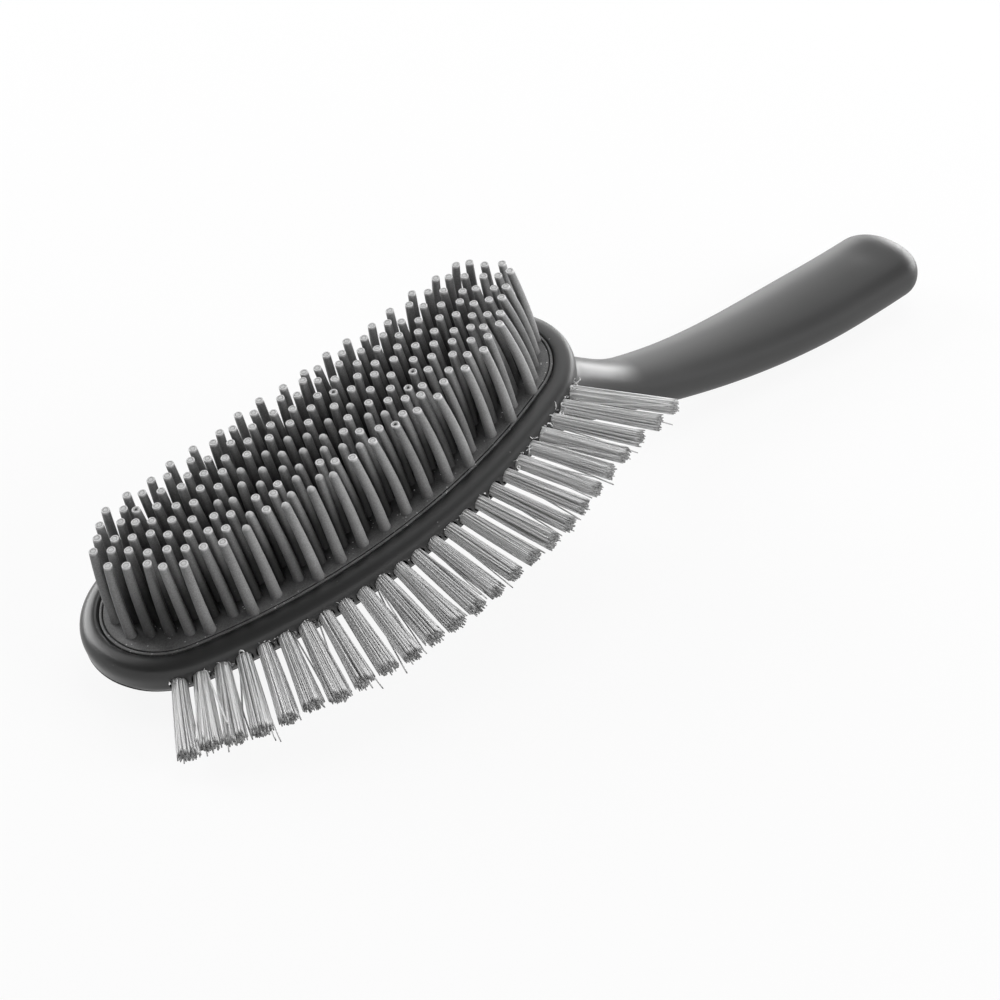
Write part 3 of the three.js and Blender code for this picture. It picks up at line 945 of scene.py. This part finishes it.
def curl(random, start, heading, length, radius):
    """Points and faces of one curled shaving."""
    turn = random.normal(0, BURR_TURN)
    lift = random.normal(0, BURR_LIFT)
    way = heading / np.linalg.norm(heading)
    axis = random.normal(0, 1, 3)
    axis /= np.linalg.norm(axis)
    path = [start]
    for _ in range(BURR_RINGS - 1):
        way = way + turn * np.cross(axis, way) + lift * axis
        way /= np.linalg.norm(way)
        path.append(path[-1] + way * length / BURR_RINGS)
    path = np.array(path)
    ways = np.gradient(path, axis=0)
    ways /= np.linalg.norm(ways, axis=1)[:, None]
    level = np.cross(ways, axis + [BURR_TILT, 0, 0])
    level /= np.linalg.norm(level, axis=1)[:, None]
    other = np.cross(ways, level)
    taper = radius * np.sin(np.linspace(*BURR_TAPER, BURR_RINGS))[:, None]
    points = ringed(path, taper * level * BURR_WIDTH, taper * other * BURR_THICKNESS, BURR_SIDES)
    index = np.arange(BURR_RINGS * BURR_SIDES).reshape(BURR_RINGS, BURR_SIDES)
    return points.reshape(-1, 3), closed_tube(index)


def make_burrs(material):
    random = np.random.default_rng(SEED + 100)
    curls = []
    for number in range(TUFTS):
        place, axes = tuft_seat(number)
        count = random.integers(*BURR_COUNT)
        long_share = LONG_BURR_SHARE
        if number >= TUFTS - BURRED_TUFTS:
            count += HANDLE_BURRS
            long_share = HANDLE_LONG_BURR_SHARE
        elif number < BURRED_TUFTS:
            count += TIP_BURRS
        for _ in range(count):
            angle = random.uniform(*BURR_ARC)
            outward = math.cos(angle) * axes[0] + math.sin(angle) * axes[1]
            start = place + outward * (HOLE_DIAMETER / 2 + random.uniform(*BURR_START))
            start -= BURR_ROOT * axes[2]
            heading = outward * random.uniform(*BURR_OUTWARD)
            heading += axes[2] * random.uniform(*BURR_UPWARD)
            heading += random.normal(0, BURR_WANDER, 3)
            is_long = random.random() < long_share
            length = random.uniform(*(LONG_BURR_LENGTH if is_long else BURR_LENGTH))
            curls.append(curl(random, start, heading, length, random.uniform(*BURR_RADIUS)))
    points, faces = joined(curls)
    piece("hole-burrs", points, faces, material)


# Finishes


class Shade:
    """A value in a material's nodes. Sums and products of such values add the nodes that work them out."""

    def __init__(self, tree, output=None):
        self.tree = tree
        self.output = output

    def node(self, kind, settings=None, sockets=None, output=0):
        """Adds a node, sets it up and links it, and gives one of its outputs."""
        made = self.tree.nodes.new(kind)
        for name, value in (settings or {}).items():
            setattr(made, name, value)
        for name, value in (sockets or {}).items():
            if isinstance(value, Shade):
                self.tree.links.new(value.output, made.inputs[name])
            else:
                made.inputs[name].default_value = value
        return Shade(self.tree, made.outputs[output])

    def maths(self, operation, *values):
        return self.node("ShaderNodeMath", {"operation": operation}, dict(enumerate(values)))

    def __add__(self, other):
        return self.maths("ADD", self, other)

    def __mul__(self, other):
        return self.maths("MULTIPLY", self, other)

    def __rsub__(self, other):
        return self.maths("SUBTRACT", other, self)

    __radd__ = __add__
    __rmul__ = __mul__

    def over(self, low, high):
        """0 below low, 1 above high, and a soft rise between."""
        settings = {"interpolation_type": "SMOOTHSTEP"}
        sockets = {"Value": self, "From Min": low, "From Max": high}
        return self.node("ShaderNodeMapRange", settings, sockets)

    def blend(self, first, second):
        """A colour from first, where this value is 0, to second, where it is 1."""
        sockets = {"Factor": self, MIX_FIRST: first, MIX_SECOND: second}
        return self.node("ShaderNodeMix", {"data_type": "RGBA"}, sockets, MIX_RESULT)


class Finish:
    """A material with one Principled shader, and the textures that it draws on."""

    def __init__(self, name):
        self.material = bpy.data.materials.new(name)
        self.material.use_nodes = True
        self.tree = self.material.node_tree
        self.shader = self.tree.nodes["Principled BSDF"]
        self.start = Shade(self.tree)
        self.place = self.start.node("ShaderNodeTexCoord", output="Object")

    def attribute(self, name):
        return self.start.node("ShaderNodeAttribute", {"attribute_name": name}, output="Fac")

    def stretched(self, scale):
        """The place, scaled differently along each axis."""
        return self.start.node("ShaderNodeMapping", {}, {"Vector": self.place, "Scale": scale})

    def noise(self, size, detail, roughness=0.55, place=None):
        """Cloudy noise whose features are about size millimetres across."""
        sockets = {
            "Vector": place or self.place,
            "Scale": 1 / (size * MILLIMETRE),
            "Detail": detail,
            "Roughness": roughness,
        }
        return self.start.node("ShaderNodeTexNoise", {}, sockets, "Fac")

    def specks(self, spacing, reach):
        """1 on scattered dots and 0 elsewhere.

        spacing is in millimetres, and reach is a dot's radius as a share of it.
        """
        sockets = {"Vector": self.place, "Scale": 1 / (spacing * MILLIMETRE), "Randomness": 1}
        distance = self.start.node("ShaderNodeTexVoronoi", {}, sockets, "Distance")
        return 1 - distance.over(reach * SPECK_CORE, reach)

    def bump(self, height, strength, distance):
        """A relief whose height is given in millimetres by distance."""
        sockets = {"Height": height, "Strength": strength, "Distance": distance * MILLIMETRE}
        return self.start.node("ShaderNodeBump", {}, sockets, "Normal")

    def set(self, **sockets):
        for name, value in sockets.items():
            socket = self.shader.inputs[name.replace("_", " ")]
            if isinstance(value, Shade):
                self.tree.links.new(value.output, socket)
            else:
                socket.default_value = value
        return self.material


def grey(level):
    return (level, level, level, 1)


def body_plastic():
    """Satin charcoal, polished at the tip and the throat, with faint scuffs, and dust on the head."""
    finish = Finish("charcoal plastic")
    grain = finish.noise(size=0.35, detail=2)
    cloud = finish.noise(size=14, detail=4)
    along = finish.start.node("ShaderNodeSeparateXYZ", {}, {"Vector": finish.place}, "X")
    on_head = 1 - along.over(*HEAD_FADE)
    at_throat = along.over(*THROAT_POLISH_RISE) * (1 - along.over(*THROAT_POLISH_FADE))
    polished = 1 - along.over(*TIP_POLISH_FADE) + THROAT_POLISH * at_throat
    dusty = finish.noise(size=7, detail=2).over(0.5, 0.66)
    dust = finish.specks(spacing=2.2, reach=0.09) * dusty * on_head
    lengthwise = finish.stretched((0.25, 1, 1))
    scuffs = finish.noise(size=1.2, detail=5, roughness=0.7, place=lengthwise).over(0.62, 0.8)
    tone = cloud.blend(grey(0.02), grey(0.029))
    return finish.set(
        Base_Color=(dust * 0.7).blend(tone, grey(0.3)),
        Roughness=0.45 - 0.17 * polished + cloud * 0.08 + scuffs * 0.08 + dust * 0.3,
        Specular_IOR_Level=0.45,
        Normal=finish.bump(grain, strength=0.25, distance=0.012),
    )


def pad_rubber():
    """Matt mid-grey rubber with tops pale partly by painted light from above, painted shade in the pits,
    the groove and the tops' dipped rings, painted shade among the pins and at their feet, and dust on the
    sheet.
    """
    finish = Finish("grey rubber")
    # tip carries the tops' paleness, partly painted light from above
    tip = finish.attribute("tip")
    top = tip.over(0.05, 0.95)
    # pit marks where pits and the groove are painted near black, as shade
    pit = (tip * -1).over(0.1, 0.9)
    on_sheet = finish.attribute("sheet")
    grain = finish.noise(size=0.3, detail=3)
    cloud = finish.noise(size=4, detail=4)
    mottle = finish.noise(size=0.3, detail=4, roughness=0.75).over(0.3, 0.7)
    clean = (finish.attribute("shade") * 0.4 + mottle * 0.6).blend(grey(0.12), grey(0.275))
    stained = (cloud.over(0.35, 0.75) * 0.4 + mottle * 0.6).blend(grey(0.075), grey(0.18))
    # Painted shade among the pins and at their feet, blending the rubber's tone to near black
    painted_shade = finish.attribute("painted_shade") * 0.9
    side = painted_shade.blend(on_sheet.blend(clean, stained), grey(0.007))
    # Colour of the tops: partly the pale tone of cut, worn rubber and partly painted light from above
    worn_and_lit_top = mottle.blend(grey(0.46), grey(0.58))
    colour = pit.blend(top.blend(side, worn_and_lit_top), grey(0.01))
    dusty = finish.noise(size=4, detail=2).over(0.45, 0.58)
    dust = finish.specks(spacing=1.1, reach=0.17) * dusty * (0.08 + 0.92 * on_sheet)
    return finish.set(
        Base_Color=dust.blend(colour, grey(0.5)),
        Roughness=0.55 + cloud * 0.2,
        Specular_IOR_Level=0.4,
        Normal=finish.bump(grain, strength=0.35, distance=0.02),
    )


def tuft_nylon():
    """Light grey filaments that differ a little, with their cut ends painted dark as shade."""
    finish = Finish("grey nylon")
    cloud = finish.noise(size=2, detail=3)
    tone = (finish.attribute("shade") * 0.75 + cloud * 0.25).blend(grey(0.56), grey(0.76))
    return finish.set(
        # The cut ends painted dark, as shade
        Base_Color=finish.attribute("end").blend(tone, grey(0.04)),
        Roughness=0.3 + 0.14 * cloud,
        Specular_IOR_Level=0.45,
    )


def torn_plastic():
    """The pale, whitened plastic of the burrs."""
    finish = Finish("torn plastic")
    whitened = finish.noise(size=0.6, detail=3).over(0.3, 0.6)
    return finish.set(Base_Color=whitened.blend(grey(0.2), grey(0.85)), Roughness=0.5)


def anchor_wire():
    """Bright wire with fine lines along it, from drawing."""
    finish = Finish("drawn wire")
    lengthwise = finish.stretched((0.1, 1, 1))
    drawn = finish.noise(size=0.15, detail=3, roughness=0.6, place=lengthwise)
    return finish.set(
        Base_Color=drawn.blend(grey(0.45), grey(0.62)),
        Metallic=1.0,
        Roughness=0.28 + drawn * 0.15,
        Normal=finish.bump(drawn, strength=0.2, distance=0.01),
    )


# Studio


def seen_directly(start):
    """1 for rays from the camera or off a mirror or glass, 0 for the light that falls on things."""
    kinds = ("Camera", "Glossy", "Transmission")
    rays = [start.node("ShaderNodeLightPath", output=f"Is {kind} Ray") for kind in kinds]
    camera, glossy, through = rays
    return start.maths("MAXIMUM", camera, start.maths("MAXIMUM", glossy, through))


def make_floor():
    """A pale floor that sweeps up into a white backdrop far off, and keeps the brush's shadow."""
    bends = np.linspace(0, SWEEP_BEND, SWEEP_STEPS)
    sweep_radius = SWEEP_START + SWEEP_ROUND * np.sin(bends)
    sweep_height = SWEEP_ROUND * (1 - np.cos(bends))
    top_radius = SWEEP_START + SWEEP_ROUND + SWEEP_SPREAD
    radius = np.concatenate([FLOOR_RADII, sweep_radius, [top_radius]])
    height = np.concatenate([np.zeros(len(FLOOR_RADII)), sweep_height, [SWEEP_HEIGHT]])
    middle = np.outer(height, [0, 0, 1])
    along = np.outer(radius, [1, 0, 0])
    across = np.outer(radius, [0, 1, 0])
    points = ringed(middle, along, across, FLOOR_SIDES)
    index = np.arange(len(radius) * FLOOR_SIDES).reshape(-1, FLOOR_SIDES)
    faces = strip(index[1:], index[:-1]) + [index[0].tolist()]
    floor = mesh_object("floor", points.reshape(-1, 3), faces)
    finish = Finish("pale floor")
    floor.data.materials.append(finish.set(Base_Color=grey(0.6), Roughness=0.9, Specular_IOR_Level=0.1))
    glow = finish.start.node("ShaderNodeEmission", {}, {"Color": grey(1), "Strength": 1.0})
    settings = {"operation": "LENGTH"}
    distance = finish.start.node("ShaderNodeVectorMath", settings, {0: finish.place}, "Value")
    share = seen_directly(finish.start) * (FLOOR_GLOW + (1 - FLOOR_GLOW) * distance.over(*GLOW_RISE))
    lit = Shade(finish.tree, finish.shader.outputs[0])
    mixed = finish.start.node("ShaderNodeMixShader", {}, {0: share, 1: lit, 2: glow})
    finish.tree.links.new(mixed.output, finish.tree.nodes["Material Output"].inputs["Surface"])


def make_world():
    world = bpy.data.worlds.new("studio")
    world.use_nodes = True
    background = world.node_tree.nodes["Background"]
    background.inputs["Color"].default_value = grey(1)
    background.inputs["Strength"].default_value = WORLD_STRENGTH
    bpy.context.scene.world = world


def make_lamp(name, place, target, size, power, glints=True):
    """A soft rectangular lamp. Without glints it lights surfaces but isn't mirrored in them."""
    lamp = bpy.data.lights.new(name, "AREA")
    lamp.shape = "RECTANGLE"
    lamp.size, lamp.size_y = size
    lamp.energy = power
    made = bpy.data.objects.new(name, lamp)
    made.location = place
    made.rotation_euler = (Vector(target) - Vector(place)).to_track_quat("-Z", "Y").to_euler()
    made.visible_glossy = glints
    made.visible_camera = False
    bpy.context.collection.objects.link(made)


def make_lamps():
    """Six softboxes, with places and sizes in metres and powers in watts."""
    head = (-0.03, 0, 0.02)
    make_lamp("overhead softbox", (0.34, 0.2, 0.88), (0, 0, 0), size=(0.8, 0.6), power=4.6)
    make_lamp("back softbox", (0.55, 0.97, 0.28), (0.03, 0, 0.04), size=(0.9, 0.45), power=6.5)
    make_lamp("right softbox", (0.6, -0.8, 0.38), head, size=(0.8, 0.6), power=13.5, glints=False)
    make_lamp("left softbox", (-0.36, 0.9, 0.45), head, size=(0.6, 0.6), power=9)
    make_lamp("front softbox", (-0.75, -0.55, 0.45), head, size=(0.5, 0.5), power=2.2, glints=False)
    make_lamp("low softbox", (0.88, 0.15, 0.12), (0, 0, 0.02), size=(0.65, 0.22), power=6)


def make_camera():
    camera = bpy.data.cameras.new("camera")
    camera.lens = CAMERA_LENS
    camera.sensor_width = CAMERA_SENSOR
    camera.clip_start = CAMERA_NEAR
    made = bpy.data.objects.new("camera", camera)
    made.location = CAMERA_PLACE
    made.rotation_euler = [math.radians(angle) for angle in CAMERA_TURN]
    bpy.context.collection.objects.link(made)
    bpy.context.scene.camera = made


def main():
    bpy.context.scene.view_settings.view_transform = "Standard"
    make_camera()
    make_world()
    make_floor()
    make_lamps()
    plastic = body_plastic()
    drill_tuft_holes(make_body(plastic))
    make_parting_line(plastic)
    make_pad(pad_rubber())
    make_tufts(tuft_nylon())
    make_burrs(torn_plastic())
    wire = anchor_wire()
    for number in range(TUFTS):
        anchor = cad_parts[numbered("anchor", number)]
        anchor.data.materials.clear()
        anchor.data.materials.append(wire)


main()
